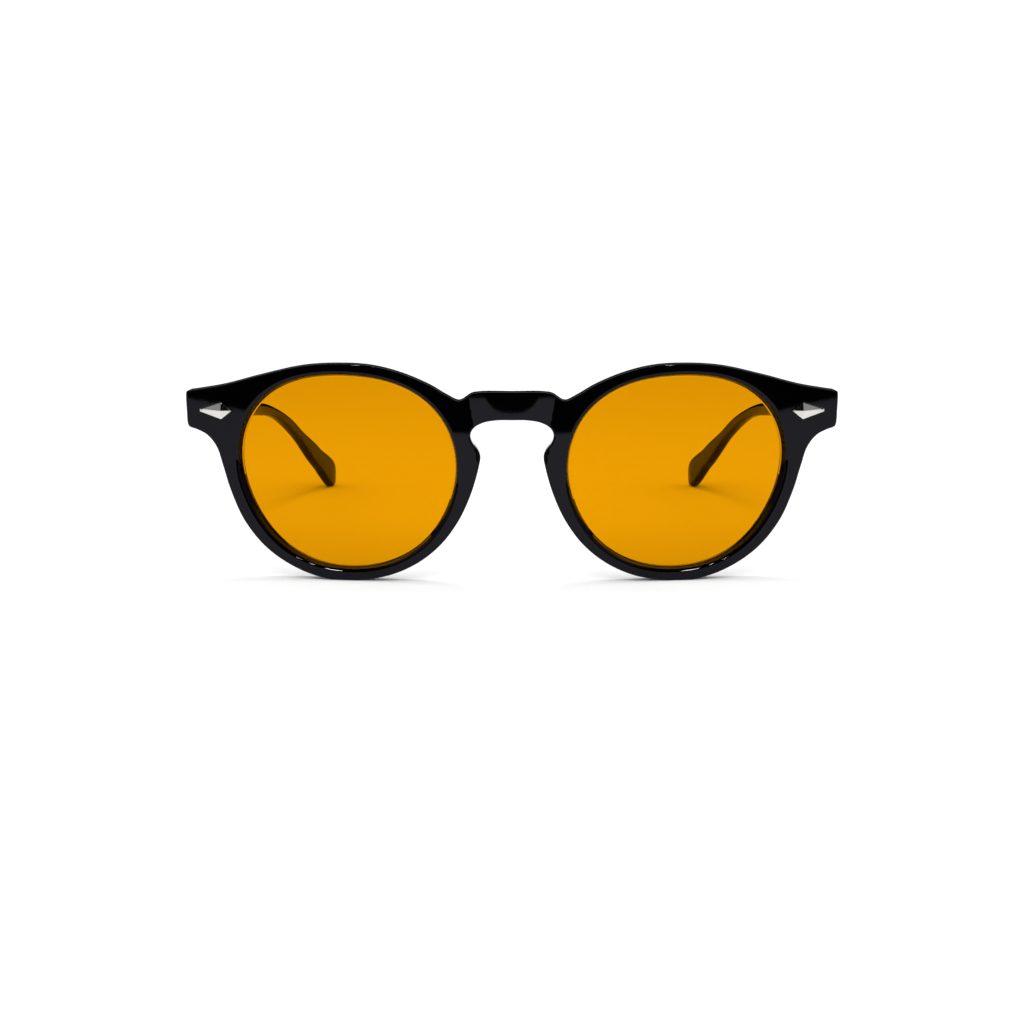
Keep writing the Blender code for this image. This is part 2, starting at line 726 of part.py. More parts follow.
def build_sunglasses():
    clear_scene()
    black = material("black_acetate", (0.004, 0.004, 0.005), 0.12)
    amber = material("amber_lens", (0.81, 0.32, 0.01), 0.03, transmission=0.9)
    silver = material("polished_silver", (0.78, 0.77, 0.75), 0.15, metallic=1.0)
    steel = material("hinge_steel", (0.62, 0.60, 0.57), 0.3, metallic=1.0)
    root = add_empty("sunglasses", (0, 0, 0))
    build_front(black, root)
    for side_name, side in SIDES:
        build_lens(f"lens_{side_name}", side, amber, root)
        build_nose_pad(f"nose_pad_{side_name}", side, black, root)
        build_plaque(f"end_plaque_{side_name}", side, silver, root)
        build_front_leaf(f"front_hinge_leaf_{side_name}", side, steel, root)
        build_screw(f"hinge_screw_{side_name}", side, steel, root)
        pivot = (HINGE_X, HINGE_Y, HINGE_Z)
        axis = add_empty(f"hinge_axis_{side_name}", (side * HINGE_X, HINGE_Y, HINGE_Z), root)
        build_temple(f"temple_{side_name}", side, black, axis, pivot)
        build_temple_leaf(f"temple_hinge_leaf_{side_name}", side, steel, axis, pivot)
        build_core_wire(f"temple_core_wire_{side_name}", side, steel, axis, pivot)
        build_rivets(side_name, side, steel, axis, pivot)
    root.location.y = -depth_of_everything() / 2


build_sunglasses()
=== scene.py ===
"""Looks of the sunglasses: finely meshed acetate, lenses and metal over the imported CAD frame.

Lengths are in millimetres until build() scales them, and the drawing frame is that of the design:
x across, z up, and depth measured back from the front's curved front face, whose middle is frontmost.
"""

import math

import bmesh
import bpy
from mathutils import Matrix, Vector


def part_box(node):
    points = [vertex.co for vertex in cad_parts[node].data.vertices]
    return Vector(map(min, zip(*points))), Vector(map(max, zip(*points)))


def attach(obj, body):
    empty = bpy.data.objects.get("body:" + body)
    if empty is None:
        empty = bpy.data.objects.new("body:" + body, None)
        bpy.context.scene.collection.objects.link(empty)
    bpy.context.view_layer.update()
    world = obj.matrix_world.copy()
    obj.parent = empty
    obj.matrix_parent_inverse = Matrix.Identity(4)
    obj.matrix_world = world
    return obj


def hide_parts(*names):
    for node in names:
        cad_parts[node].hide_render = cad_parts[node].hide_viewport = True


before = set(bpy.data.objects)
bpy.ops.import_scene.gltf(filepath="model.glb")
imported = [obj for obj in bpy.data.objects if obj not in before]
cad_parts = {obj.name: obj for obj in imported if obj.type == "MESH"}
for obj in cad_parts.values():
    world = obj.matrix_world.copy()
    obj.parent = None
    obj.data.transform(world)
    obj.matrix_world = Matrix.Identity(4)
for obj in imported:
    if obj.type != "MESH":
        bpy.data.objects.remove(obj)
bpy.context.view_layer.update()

MM = 0.001
FRONT_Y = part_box("front_frame")[0][1] / MM
SIDES = (("right", -1), ("left", 1))

# The front, as in the CAD.
FRONT_RADIUS = 260.0
FRONT_THICKNESS = 4.2
HALF_OUTLINE = (
    (0.0, 42.4), (6.6, 42.4), (8.9, 42.05), (11.6, 40.5), (14.2, 41.6), (18.2, 43.9),
    (24.5, 46.5), (31.2, 48.1), (38.5, 48.45), (46.5, 47.85), (56.0, 45.65), (64.5, 43.35),
    (71.0, 42.15), (72.6, 41.85), (73.05, 41.5), (73.15, 40.8), (73.05, 37.2), (72.9, 34.5),
    (72.55, 33.75), (70.7, 33.1), (68.4, 31.95), (66.3, 29.4), (64.9, 25.2), (63.2, 19.6),
    (60.1, 12.75), (54.9, 6.6), (47.6, 2.1), (40.2, 0.0), (34.8, 0.0), (27.3, 1.3),
    (20.8, 4.3), (15.65, 8.55), (11.75, 13.9), (9.15, 19.55), (7.45, 25.2), (6.95, 28.2),
    (7.45, 29.6), (8.75, 31.3), (9.15, 32.9), (8.45, 34.4), (6.4, 35.6), (3.4, 36.15),
    (0.0, 36.2),
)
OUTLINE_STEP = 0.55
EDGE_REACH = 2.2
FRONT_EDGE_ROUND = 0.4
BACK_EDGE_ROUND = 0.8
EDGE_PIECES = 6
SLICE_SHIFT = 0.37
BRIDGE_SLICE = 0.4
RIM_SLICE = 2.5
END_SLICE = 1.0

# Lens openings: a mean radius, and the size of one to five waves of it round the opening, as cosine
# and sine. The sections of an opening and of its lens are (distance outside the opening, depth).
LENS_X = 37.0
LENS_Z = 24.0
LENS_RADIUS = 22.94
LENS_WAVES = ((-0.275, 0.811), (1.334, 0.477), (-0.096, 0.592), (-0.253, 0.069), (-0.007, 0.062))
LENS_POINTS = 220
OPENING_SECTION = (
    (2.4, 0.0), (0.5, 0.0), (0.0, 1.95), (0.8, 2.8), (0.2, 3.45), (0.2, 4.2), (1.2, 4.2),
)
OPENING_ROUNDS = (0.85, 0.05, 0.1, 0.05, 0.3)
LENS_SECTION = ((-1.6, 1.9), (-0.25, 1.9), (0.5, 2.8), (0.05, 3.4), (0.05, 3.7), (-1.6, 3.7))
LENS_ROUNDS = (0.04, 0.06, 0.06, 0.06)
OPENING_PIECES = 8
LENS_PIECES = 3
LENS_SLICE = 1.5

# The polished face leans down by a fraction of a degree: in the middle of the bridge, more towards the
# bridge's ends, and again on the end pieces.
TOP = 42.4
BRIDGE_TILT = math.radians(0.78)
BRIDGE_END_TILT = math.radians(1.33)
BRIDGE_REACH = 5.9
BRIDGE_FADE = (8.7, 9.4)
BRIDGE_FADE_LEAN = 0.19
BRIDGE_LOW = 36.6
END_TILT = math.radians(0.2)
END_FADE = (52.0, 68.0)
SLOPE_STEP = 0.02

NOSE_PAD_X = 10.6
NOSE_PAD_Z = 21.2
NOSE_PAD_HALF_LENGTH = 7.3
NOSE_PAD_HALF_WIDTH = 1.65
NOSE_PAD_LEAN = math.radians(15.9)
NOSE_PAD_DEPTH = 3.4
NOSE_PAD_FLARE = 0.15
NOSE_PAD_POINTS = 64
NOSE_PAD_LEVELS = 14
GLUE_GAP = 0.12

# The plaque on the end piece: a kite with a blunt tail, whose facets meet at one peak in a flat border.
PLAQUE_X = 64.95
PLAQUE_Z = 37.6
PLAQUE_NOSE = 2.45
PLAQUE_TAIL = 4.9
PLAQUE_TAIL_HALF_HEIGHT = 0.3
PLAQUE_HALF_HEIGHT = 1.95
PLAQUE_RIM = 0.3
PLAQUE_BEVEL = 0.01
PLAQUE_FACETS_SIZE = 0.87
PLAQUE_HEIGHT = 1.15
PLAQUE_WEAR = (0.035, 8)
SHARP_ANGLE = math.radians(50)

# The temples, as in the CAD.
TEMPLE_GAP = 0.25
TEMPLE_X = 71.0
TEMPLE_Z = 37.85
TEMPLE_STRAIGHT = 81.0
TEMPLE_ARC_RADIUS = 75.0
TEMPLE_SLOPE = math.radians(6.5)
TIP_SLOPE = math.radians(31.5)
TIP_HALF_HEIGHT = 4.2
TIP_REACH = 4.2
TEMPLE_LEAN = 0.0231
CURL_START = 66.0
CURL_INWARD = 13.2
CURL_POWER = 1.35
TEMPLE_SECTIONS = (
    (0.0, 3.95, 1.9), (23.5, 3.45, 1.85), (51.5, 2.65, 1.7), (78.5, 1.7, 1.3),
    (93.5, 1.45, 1.25), (112.0, 1.85, 1.25), (129.0, 3.15, 1.3), (140.0, TIP_HALF_HEIGHT, 1.3),
)
TEMPLE_RINGS = 150
TIP_RINGS = 14
CORNER_POINTS = 6
TEMPLE_CORNER = 0.95

# Hinge parts, rivets and wires, which keep their CAD shape.
HARDWARE = (
    "front_hinge_leaf", "temple_hinge_leaf", "hinge_screw", "temple_core_wire",
    "temple_rivet_upper", "temple_rivet_lower",
)
HARDWARE_WEAR = (0.06, 40)

# Most of a noise's values lie in this range.
NOISE_RANGE = (0.3, 0.7)

# Colours, as pairs from dark to light where a noise mixes them.
ACETATE_COLOURS = ((0.0002, 0.0002, 0.0003), (0.0006, 0.0006, 0.0007))
# The acetate's gloss tint paints a bluish cast on its reflections and dims them a little: a painted
# reflection tint.
ACETATE_PAINTED_REFLECTION_TINT = (0.80, 0.81, 1.0)
ACETATE_IOR = 1.49
# The temples' gloss tint and weaker specular paint their reflections darker than the front's: painted
# shade.
TEMPLE_PAINTED_SHADE_TINT = (0.48, 0.48, 0.56)
AMBER_COLOURS = ((0.64, 0.262, 0.0007), (0.66, 0.27, 0.0007))
AMBER_GLOSS = (0.10, 0.04, 0.0)
AMBER_SHADOW = (0.72, 0.71, 0.70)
AMBER_IOR = 1.5
SILVER_COLOURS = ((0.60, 0.58, 0.555), (0.65, 0.63, 0.60))
STEEL_COLOURS = ((0.50, 0.48, 0.45), (0.66, 0.64, 0.60))
FLOOR_COLOUR = (0.92, 0.92, 0.92)
FLAG_COLOUR = (0.0, 0.0, 0.0)
STAGE_ROUGHNESS = 0.6

# Camera and studio.
CAMERA_DISTANCE = 415.0
CAMERA_HEIGHT = 82.75
CAMERA_PITCH = math.radians(9.15)
CAMERA_LENS = 66.9
SENSOR_WIDTH = 36.0
WHITE_FLOOR_END = -275.0
FLOOR = 30.0
FLOOR_HEIGHT = -0.00002
FLAG_HEIGHT = 0.0005
DOME = 1.12
FRONT_DARK = 0.003
SIDE_GREY = 0.45
BACK_SKY = 2.0
SIDE_EDGE = (0.35, 0.6)
SKY_LOW_EDGE = (0.3, 0.5)
SKY_FRONT_EDGE = (0.1, 0.3)

# Large lamps: place, what it points at and size, in metres, and power.
OVERHEAD_LAMP = ((0.0, 0.06, 0.42), (0.0, 0.06, 0.0), (0.14, 0.10), 0.42)
FRONT_LAMP = ((0.0, -0.42, 0.32), (0.0, -0.05, 0.0), (0.3, 0.12), 0.45)

# Small lamps that sparkle on the lower edge of each opening: the way to each one, the place it lights,
# its size in metres and its power.
SPARKLES = (
    ((0.28, -0.82, 0.50), (39.9, 3.1, 2.3), (0.022, 0.08), 0.0025),
    ((0.13, -0.75, 0.65), (44.5, 3.9, 3.5), (0.010, 0.06), 0.0005),
    ((0.08, -0.82, 0.56), (47.5, 4.4, 4.6), (0.008, 0.04), 0.0003),
)
SPARKLE_DISTANCE = 0.45
SPARKLE_SPREAD = math.radians(6)


# Curves


def closed_curve(points, step):
    """Points no more than about step apart on a smooth closed curve (centripetal Catmull-Rom)."""
    count = len(points)
    sampled = []
    for i in range(count):
        p0, p1, p2, p3 = (Vector(points[(i + k) % count]) for k in (-1, 0, 1, 2))
        t1 = math.sqrt((p1 - p0).length)
        t2 = t1 + math.sqrt((p2 - p1).length)
        t3 = t2 + math.sqrt((p3 - p2).length)
        pieces = max(1, math.ceil((p2 - p1).length / step))
        for k in range(pieces):
            t = t1 + (t2 - t1) * k / pieces
            a1 = p0.lerp(p1, t / t1)
            a2 = p1.lerp(p2, (t - t1) / (t2 - t1))
            a3 = p2.lerp(p3, (t - t2) / (t3 - t2))
            b1 = a1.lerp(a2, t / t2)
            b2 = a2.lerp(a3, (t - t1) / (t3 - t1))
            sampled.append(b1.lerp(b2, (t - t1) / (t2 - t1)))
    return sampled


def outward_normals(loop):
    count = len(loop)
    turn = math.copysign(1.0, sum(loop[i - 1].cross(loop[i]) for i in range(count)))
    along = [loop[(i + 1) % count] - loop[i - 1] for i in range(count)]
    return [Vector((a.y, -a.x)).normalized() * turn for a in along]


def front_outline():
    """The front's outline, kept inside the CAD outline's width and height."""
    half = list(HALF_OUTLINE)
    other_half = [(-x, z) for x, z in half[-2:0:-1]]
    half_width = max(x for x, _ in half)
    height = max(z for _, z in half)
    loop = closed_curve(half + other_half, OUTLINE_STEP)
    kept_inside = []
    for point in loop:
        x = min(max(point.x, -half_width), half_width)
        kept_inside.append(Vector((x, min(max(point.y, 0.0), height))))
    return kept_inside


def opening_outline(side=1):
    """The lens opening, anticlockwise in x and z on the left side."""
    loop = []
    for k in range(LENS_POINTS):
        angle = 2 * math.pi * (k + 0.5) / LENS_POINTS
        radius = LENS_RADIUS
        for count, (across, up) in enumerate(LENS_WAVES, 1):
            radius += across * math.cos(count * angle) + up * math.sin(count * angle)
        x = LENS_X + radius * math.cos(angle)
        loop.append(Vector((side * x, LENS_Z + radius * math.sin(angle))))
    return loop


def rounded_section(corners, radii, pieces=5):
    """A polyline with its inner corners rounded, as (point, normal) pairs.

    The normal is to the left of the way along the polyline.
    """
    corners = [Vector(corner) for corner in corners]
    section = []

    def left(direction):
        return Vector((-direction.y, direction.x))

    first = (corners[1] - corners[0]).normalized()
    section.append((corners[0], left(first)))
    for before, corner, after, radius in zip(corners, corners[1:], corners[2:], radii):
        way_in = (corner - before).normalized()
        way_out = (after - corner).normalized()
        turn = way_in.angle_signed(way_out)
        reach = radius * math.tan(abs(turn) / 2)
        start = corner - way_in * reach
        side = -1.0 if turn > 0 else 1.0
        centre = start + left(way_in) * side * radius
        for k in range(pieces + 1):
            spin = Matrix.Rotation(-turn * k / pieces, 2)
            section.append((centre + spin @ (start - centre), spin @ left(way_in)))
    last = (corners[-1] - corners[-2]).normalized()
    section.append((corners[-1], left(last)))
    return section


def wrap(x):
    """How far back the front's curved face lies at x."""
    return x * x / (2 * FRONT_RADIUS)


def smooth_step(value, low, high):
    share = min(max((value - low) / (high - low), 0.0), 1.0)
    return share * share * (3 - 2 * share)


def face_tilt(x, z):
    """How far the face leans down, as an angle."""
    reach = abs(x)
    on_bridge = 1 - smooth_step(reach - BRIDGE_FADE_LEAN * (z - BRIDGE_LOW), *BRIDGE_FADE)
    bridge = BRIDGE_TILT + (BRIDGE_END_TILT - BRIDGE_TILT) * min(reach / BRIDGE_REACH, 1.0) ** 3
    return bridge * on_bridge + END_TILT * smooth_step(reach, *END_FADE)


def face_relief(x, z):
    """Extra depth of the face, which leans from the top of the front down."""
    return math.tan(face_tilt(x, z)) * max(TOP - z, 0.0)


# Meshes


class Sheet:
    """A flat mesh with a normal on each vertex, to be sliced and bent round the front's cylinder."""

    def __init__(self):
        self.bm = bmesh.new()
        self.normal = self.bm.verts.layers.float_vector.new("flat_normal")

    def add_rings(self, loop, section, curvature=0.0):
        """One ring for each point of the section, which is drawn as (distance outside the loop, depth).

        With the front's curvature, the section's walls end up square to the bent face.
        """
        normals = outward_normals(loop)
        rings = []
        for (distance, depth), (out, back) in section:
            ring = []
            for point, normal in zip(loop, normals):
                flat = point + normal * distance
                lean = curvature * flat.x
                vert = self.bm.verts.new((flat.x - lean * depth, depth, flat.y))
                vert[self.normal] = (out * normal.x, back + lean * out * normal.x, out * normal.y)
                ring.append(vert)
            rings.append(ring)
        for near, far in zip(rings, rings[1:]):
            for i in range(len(near)):
                j = i - 1
                self.bm.faces.new((near[i], near[j], far[j], far[i]))
        return rings

    def fill(self, rings):
        find = self.bm.edges.get
        edges = [find((ring[i - 1], ring[i])) for ring in rings for i in range(len(ring))]
        bmesh.ops.triangle_fill(self.bm, use_beauty=True, use_dissolve=False, edges=edges)

    def slice(self, places):
        for x in places:
            geometry = self.bm.verts[:] + self.bm.edges[:] + self.bm.faces[:]
            place = (x, 0, 0)
            bmesh.ops.bisect_plane(self.bm, geom=geometry, dist=1e-4, plane_co=place, plane_no=(1, 0, 0))

    def bend(self, relief=None):
        """Move each vertex back by the wrap and the relief, which turn its normal as they slope."""
        step = SLOPE_STEP
        for vert in self.bm.verts:
            x, depth, z = vert.co
            flat = vert[self.normal].copy()
            slope_x = x / FRONT_RADIUS
            slope_z = 0.0
            extra = 0.0
            if relief:
                share = min(max(1 - depth / FRONT_THICKNESS, 0.0), 1.0)
                extra = relief(x, z) * share
                slope_x += (relief(x + step, z) - relief(x - step, z)) / (2 * step) * share
                slope_z = (relief(x, z + step) - relief(x, z - step)) / (2 * step) * share
            vert.co.y = depth + wrap(x) + extra
            bent = Vector((flat.x - slope_x * flat.y, flat.y, flat.z - slope_z * flat.y))
            vert[self.normal] = bent.normalized()

    def to_object(self, name, side=1):
        bmesh.ops.recalc_face_normals(self.bm, faces=self.bm.faces)
        large = [face for face in self.bm.faces if len(face.verts) > 4]
        bmesh.ops.triangulate(self.bm, faces=large)
        mirror = Vector((side, 1, 1))
        normals = [Vector(vert[self.normal]) * mirror for vert in self.bm.verts]
        obj = build(name, self.bm, side)
        obj.data.normals_split_custom_set_from_vertices(normals)
        return obj


def build(name, bm, side=1):
    """A bmesh drawn in the design's frame for the left side, as an object in the row's frame."""
    bmesh.ops.translate(bm, vec=(0, FRONT_Y, 0), verts=bm.verts)
    bmesh.ops.scale(bm, vec=(side * MM, MM, MM), verts=bm.verts)
    if side < 0:
        bmesh.ops.reverse_faces(bm, faces=bm.faces)
    mesh = bpy.data.meshes.new(name)
    bm.to_mesh(mesh)
    bm.free()
    mesh.shade_smooth()
    obj = bpy.data.objects.new(name, mesh)
    bpy.context.scene.collection.objects.link(obj)
    return obj


def even_places(low, high, step):
    count = math.ceil((high - low) / step)
    return [low + (high - low) * (k + SLICE_SHIFT) / count for k in range(count)]


def front_piece():
    sheet = Sheet()
    edge = ((-EDGE_REACH, 0.0), (0.0, 0.0), (0.0, FRONT_THICKNESS), (-EDGE_REACH, FRONT_THICKNESS))
    rounds = (FRONT_EDGE_ROUND, BACK_EDGE_ROUND)
    outer_section = [(p, -n) for p, n in rounded_section(edge, rounds, EDGE_PIECES)[1:-1]]
    outer = sheet.add_rings(front_outline(), outer_section)
    fronts = [outer[0]]
    backs = [outer[-1]]
    section = rounded_section(OPENING_SECTION, OPENING_ROUNDS, OPENING_PIECES)[1:-1]
    for _, side in SIDES:
        opening = sheet.add_rings(opening_outline(side), section, 1 / FRONT_RADIUS)
        fronts.append(opening[0])
        backs.append(opening[-1])
    sheet.fill(fronts)
    sheet.fill(backs)
    half_width = max(x for x, _ in HALF_OUTLINE)
    bridge = BRIDGE_FADE[1] + BRIDGE_FADE_LEAN * (TOP - BRIDGE_LOW)
    end = END_FADE[0]
    sheet.slice(even_places(-bridge, bridge, BRIDGE_SLICE))
    for low, high, step in ((bridge, end, RIM_SLICE), (end, half_width, END_SLICE)):
        sheet.slice(even_places(low, high, step) + even_places(-high, -low, step))
    sheet.bend(face_relief)
    return sheet.to_object("acetate_front")


def lens_piece(name, side):
    sheet = Sheet()
    section = [(p, -n) for p, n in rounded_section(LENS_SECTION, LENS_ROUNDS, LENS_PIECES)[1:-1]]
    opening = opening_outline()
    rings = sheet.add_rings(opening, section, 1 / FRONT_RADIUS)
    sheet.fill([rings[0]])
    sheet.fill([rings[-1]])
    across = [point.x for point in opening]
    sheet.slice(even_places(min(across), max(across), LENS_SLICE))
    sheet.bend()
    return sheet.to_object(name, side)


def skin(bm, rings):
    for near, far in zip(rings, rings[1:]):
        for i in range(len(near)):
            bm.faces.new((near[i - 1], near[i], far[i], far[i - 1]))


def nose_pad_piece(name, side):
    bm = bmesh.new()
    rings = []
    for level in range(NOSE_PAD_LEVELS):
        rise = math.sin(math.pi / 2 * level / NOSE_PAD_LEVELS)
        spread = math.cos(math.pi / 2 * level / NOSE_PAD_LEVELS)
        depth = FRONT_THICKNESS + GLUE_GAP + NOSE_PAD_DEPTH * rise
        ring = []
        for k in range(NOSE_PAD_POINTS):
            angle = 2 * math.pi * k / NOSE_PAD_POINTS
            across = NOSE_PAD_HALF_WIDTH * spread * math.cos(angle)
            up = NOSE_PAD_HALF_LENGTH * spread * math.sin(angle)
            x = NOSE_PAD_X + across * math.cos(NOSE_PAD_LEAN) - up * math.sin(NOSE_PAD_LEAN)
            x += NOSE_PAD_FLARE * NOSE_PAD_DEPTH * rise
            z = NOSE_PAD_Z + across * math.sin(NOSE_PAD_LEAN) + up * math.cos(NOSE_PAD_LEAN)
            ring.append(bm.verts.new((x, wrap(x) + depth, z)))
        rings.append(ring)
    skin(bm, rings)
    bm.faces.new(rings[0])
    bm.faces.new(rings[-1])
    bmesh.ops.recalc_face_normals(bm, faces=bm.faces)
    obj = build(name, bm, side)
    obj.data.set_sharp_from_angle(angle=SHARP_ANGLE)
    return obj


def plaque_piece(name, side):
    """Border, facets and straight sides of the kite, in the plane that touches the front behind it."""
    kite = (
        (-PLAQUE_NOSE, 0.0), (0.0, PLAQUE_HALF_HEIGHT), (PLAQUE_TAIL, PLAQUE_TAIL_HALF_HEIGHT),
        (PLAQUE_TAIL, -PLAQUE_TAIL_HALF_HEIGHT), (0.0, -PLAQUE_HALF_HEIGHT),
    )
    levels = ((1.0, 0.0), (1.0, PLAQUE_RIM), (PLAQUE_FACETS_SIZE, PLAQUE_RIM + PLAQUE_BEVEL))

    def place(u, lift, z):
        x = PLAQUE_X + u
        return (x, wrap(PLAQUE_X) + PLAQUE_X / FRONT_RADIUS * u - GLUE_GAP - lift, PLAQUE_Z + z)

    bm = bmesh.new()
    rings = []
    for size, lift in levels:
        rings.append([bm.verts.new(place(u * size, lift, z * size)) for u, z in kite])
    skin(bm, rings)
    bm.faces.new(rings[0])
    peak = bm.verts.new(place(0.0, PLAQUE_HEIGHT, 0.0))
    facets = rings[-1]
    for i, corner in enumerate(facets):
        bm.faces.new((facets[i - 1], corner, peak))
    bmesh.ops.recalc_face_normals(bm, faces=bm.faces)
    return worn(build(name, bm, side), *PLAQUE_WEAR)


def worn(obj, width, least_angle):
    """Narrow round edges, with the faces between them kept flat."""
    bevel = obj.modifiers.new("worn_edges", "BEVEL")
    bevel.width = width * MM
    bevel.segments = 2
    bevel.limit_method = "ANGLE"
    bevel.angle_limit = math.radians(least_angle)
    bevel.harden_normals = True
    return obj


# Temple


def temple_start():
    return wrap(TEMPLE_X) + FRONT_THICKNESS + TEMPLE_GAP


def temple_arc_length():
    return TEMPLE_ARC_RADIUS * (TIP_SLOPE - TEMPLE_SLOPE)


def temple_length():
    arc_drop = TEMPLE_ARC_RADIUS * (math.cos(TEMPLE_SLOPE) - math.cos(TIP_SLOPE))
    tip_drop = math.hypot(TIP_REACH * math.sin(TIP_SLOPE), TIP_HALF_HEIGHT * math.cos(TIP_SLOPE))
    left = TEMPLE_Z - TEMPLE_STRAIGHT * math.sin(TEMPLE_SLOPE) - arc_drop - tip_drop
    return TEMPLE_STRAIGHT + temple_arc_length() + left / math.sin(TIP_SLOPE)


def temple_point(s):
    """The centre line's point and downward slope at a distance along it."""
    on_straight = min(s, TEMPLE_STRAIGHT)
    on_arc = min(max(s - TEMPLE_STRAIGHT, 0.0), temple_arc_length())
    on_tip = max(s - TEMPLE_STRAIGHT - temple_arc_length(), 0.0)
    slope = TEMPLE_SLOPE + on_arc / TEMPLE_ARC_RADIUS
    y = temple_start() + on_straight * math.cos(TEMPLE_SLOPE) + on_tip * math.cos(TIP_SLOPE)
    y += TEMPLE_ARC_RADIUS * (math.sin(slope) - math.sin(TEMPLE_SLOPE))
    z = TEMPLE_Z - on_straight * math.sin(TEMPLE_SLOPE) - on_tip * math.sin(TIP_SLOPE)
    z -= TEMPLE_ARC_RADIUS * (math.cos(TEMPLE_SLOPE) - math.cos(slope))
    curl = max(s - CURL_START, 0.0) / (temple_length() - CURL_START)
    x = TEMPLE_X - TEMPLE_LEAN * s - CURL_INWARD * curl ** CURL_POWER
    return Vector((x, y, z)), slope


def temple_size(s):
    for (s0, h0, t0), (s1, h1, t1) in zip(TEMPLE_SECTIONS, TEMPLE_SECTIONS[1:]):
        if s <= s1:
            break
    mix = min(max((s - s0) / (s1 - s0), 0.0), 1.0)
    ease = mix * mix * (3 - 2 * mix)
    return h0 + (h1 - h0) * ease, t0 + (t1 - t0) * mix


def temple_frame(s):
    step = 0.01
    centre, slope = temple_point(s)
    ahead, _ = temple_point(s + step)
    behind, _ = temple_point(max(s - step, 0.0))
    along = (ahead - behind).normalized()
    up = Vector((0.0, math.sin(slope), math.cos(slope)))
    out = along.cross(up).normalized()
    return centre, out, out.cross(along)


def temple_ring(s, half_height, half_thickness):
    """A rectangle with round corners across the temple."""
    centre, out, up = temple_frame(s)
    radius = min(TEMPLE_CORNER, 0.8 * half_height, 0.8 * half_thickness)
    ring = []
    for quadrant, (a, b) in enumerate(((1, 1), (-1, 1), (-1, -1), (1, -1))):
        for k in range(CORNER_POINTS):
            angle = math.pi / 2 * (quadrant + k / (CORNER_POINTS - 1))
            sideways = a * (half_thickness - radius) + radius * math.cos(angle)
            upwards = b * (half_height - radius) + radius * math.sin(angle)
            ring.append(centre + out * sideways + up * upwards)
    return ring


def temple_piece(name, side):
    length = temple_length()
    rings = []
    for k in range(TEMPLE_RINGS):
        s = length * k / (TEMPLE_RINGS - 1)
        rings.append(temple_ring(s, *temple_size(s)))
    for point in rings[0]:
        point.y = temple_start() + TEMPLE_X / FRONT_RADIUS * (point.x - TEMPLE_X)
    half_height, half_thickness = temple_size(length)
    for k in range(1, TIP_RINGS):
        angle = math.pi / 2 * k / TIP_RINGS
        s = length + TIP_REACH * math.sin(angle)
        narrowing = math.cos(angle)
        rings.append(temple_ring(s, half_height * narrowing, half_thickness * narrowing ** 0.5))
    bm = bmesh.new()
    loops = [[bm.verts.new((p.x, p.y, max(p.z, 0.0))) for p in ring] for ring in rings]
    skin(bm, loops)
    bm.faces.new(loops[-1])
    bm.faces.new(loops[0])
    bmesh.ops.recalc_face_normals(bm, faces=bm.faces)
    obj = build(name, bm, side)
    obj.data.set_sharp_from_angle(angle=SHARP_ANGLE)
    return obj


# Materials


def shader_of(name):
    made = bpy.data.materials.new(name)
    made.use_nodes = True
    tree = made.node_tree
    return made, tree.nodes, tree.links, tree.nodes["Principled BSDF"]


def noise(nodes, links, scale, detail=4.0, stretch=(1, 1, 1)):
    """A noise field in object space, in metres, stretched as given."""
    place = nodes.new("ShaderNodeTexCoord")
    mapping = nodes.new("ShaderNodeMapping")
    mapping.inputs["Scale"].default_value = stretch
    texture = nodes.new("ShaderNodeTexNoise")
    texture.inputs["Scale"].default_value = scale
    texture.inputs["Detail"].default_value = detail
    links.new(place.outputs["Object"], mapping.inputs["Vector"])
    links.new(mapping.outputs["Vector"], texture.inputs["Vector"])
    return texture.outputs["Fac"]


def spread(nodes, links, value, low, high):
    """The value of a noise, spread over low to high."""
    remap = nodes.new("ShaderNodeMapRange")
    remap.inputs["From Min"].default_value = NOISE_RANGE[0]
    remap.inputs["From Max"].default_value = NOISE_RANGE[1]
    remap.inputs["To Min"].default_value = low
    remap.inputs["To Max"].default_value = high
    links.new(value, remap.inputs["Value"])
    return remap.outputs["Result"]


def tint(nodes, links, value, dark, light):
    mix = nodes.new("ShaderNodeMix")
    mix.data_type = "RGBA"
    mix.inputs["A"].default_value = (*dark, 1.0)
    mix.inputs["B"].default_value = (*light, 1.0)
    links.new(value, mix.inputs["Factor"])
    return mix.outputs["Result"]


def add_bump(nodes, links, shader, value, strength, distance):
    bump = nodes.new("ShaderNodeBump")
    bump.inputs["Strength"].default_value = strength
    bump.inputs["Distance"].default_value = distance
    links.new(value, bump.inputs["Height"])
    links.new(bump.outputs["Normal"], shader.inputs["Normal"])


def acetate(name, roughness=(0.015, 0.03), specular=0.18, gloss=ACETATE_PAINTED_REFLECTION_TINT):
    """Black cellulose acetate: nearly black, with a faint cloud in it and fine polishing marks."""
    made, nodes, links, shader = shader_of(name)
    cloud = noise(nodes, links, 90.0, 3.0)
    links.new(tint(nodes, links, cloud, *ACETATE_COLOURS), shader.inputs["Base Color"])
    marks = noise(nodes, links, 900.0, 5.0, (1.0, 1.0, 6.0))
    links.new(spread(nodes, links, marks, *roughness), shader.inputs["Roughness"])
    add_bump(nodes, links, shader, marks, 0.02, 0.00002)
    shader.inputs["IOR"].default_value = ACETATE_IOR
    shader.inputs["Specular IOR Level"].default_value = specular
    # The gloss tint paints the colour and strength of the reflections: a painted reflection tint.
    shader.inputs["Specular Tint"].default_value = (*gloss, 1.0)
    return made


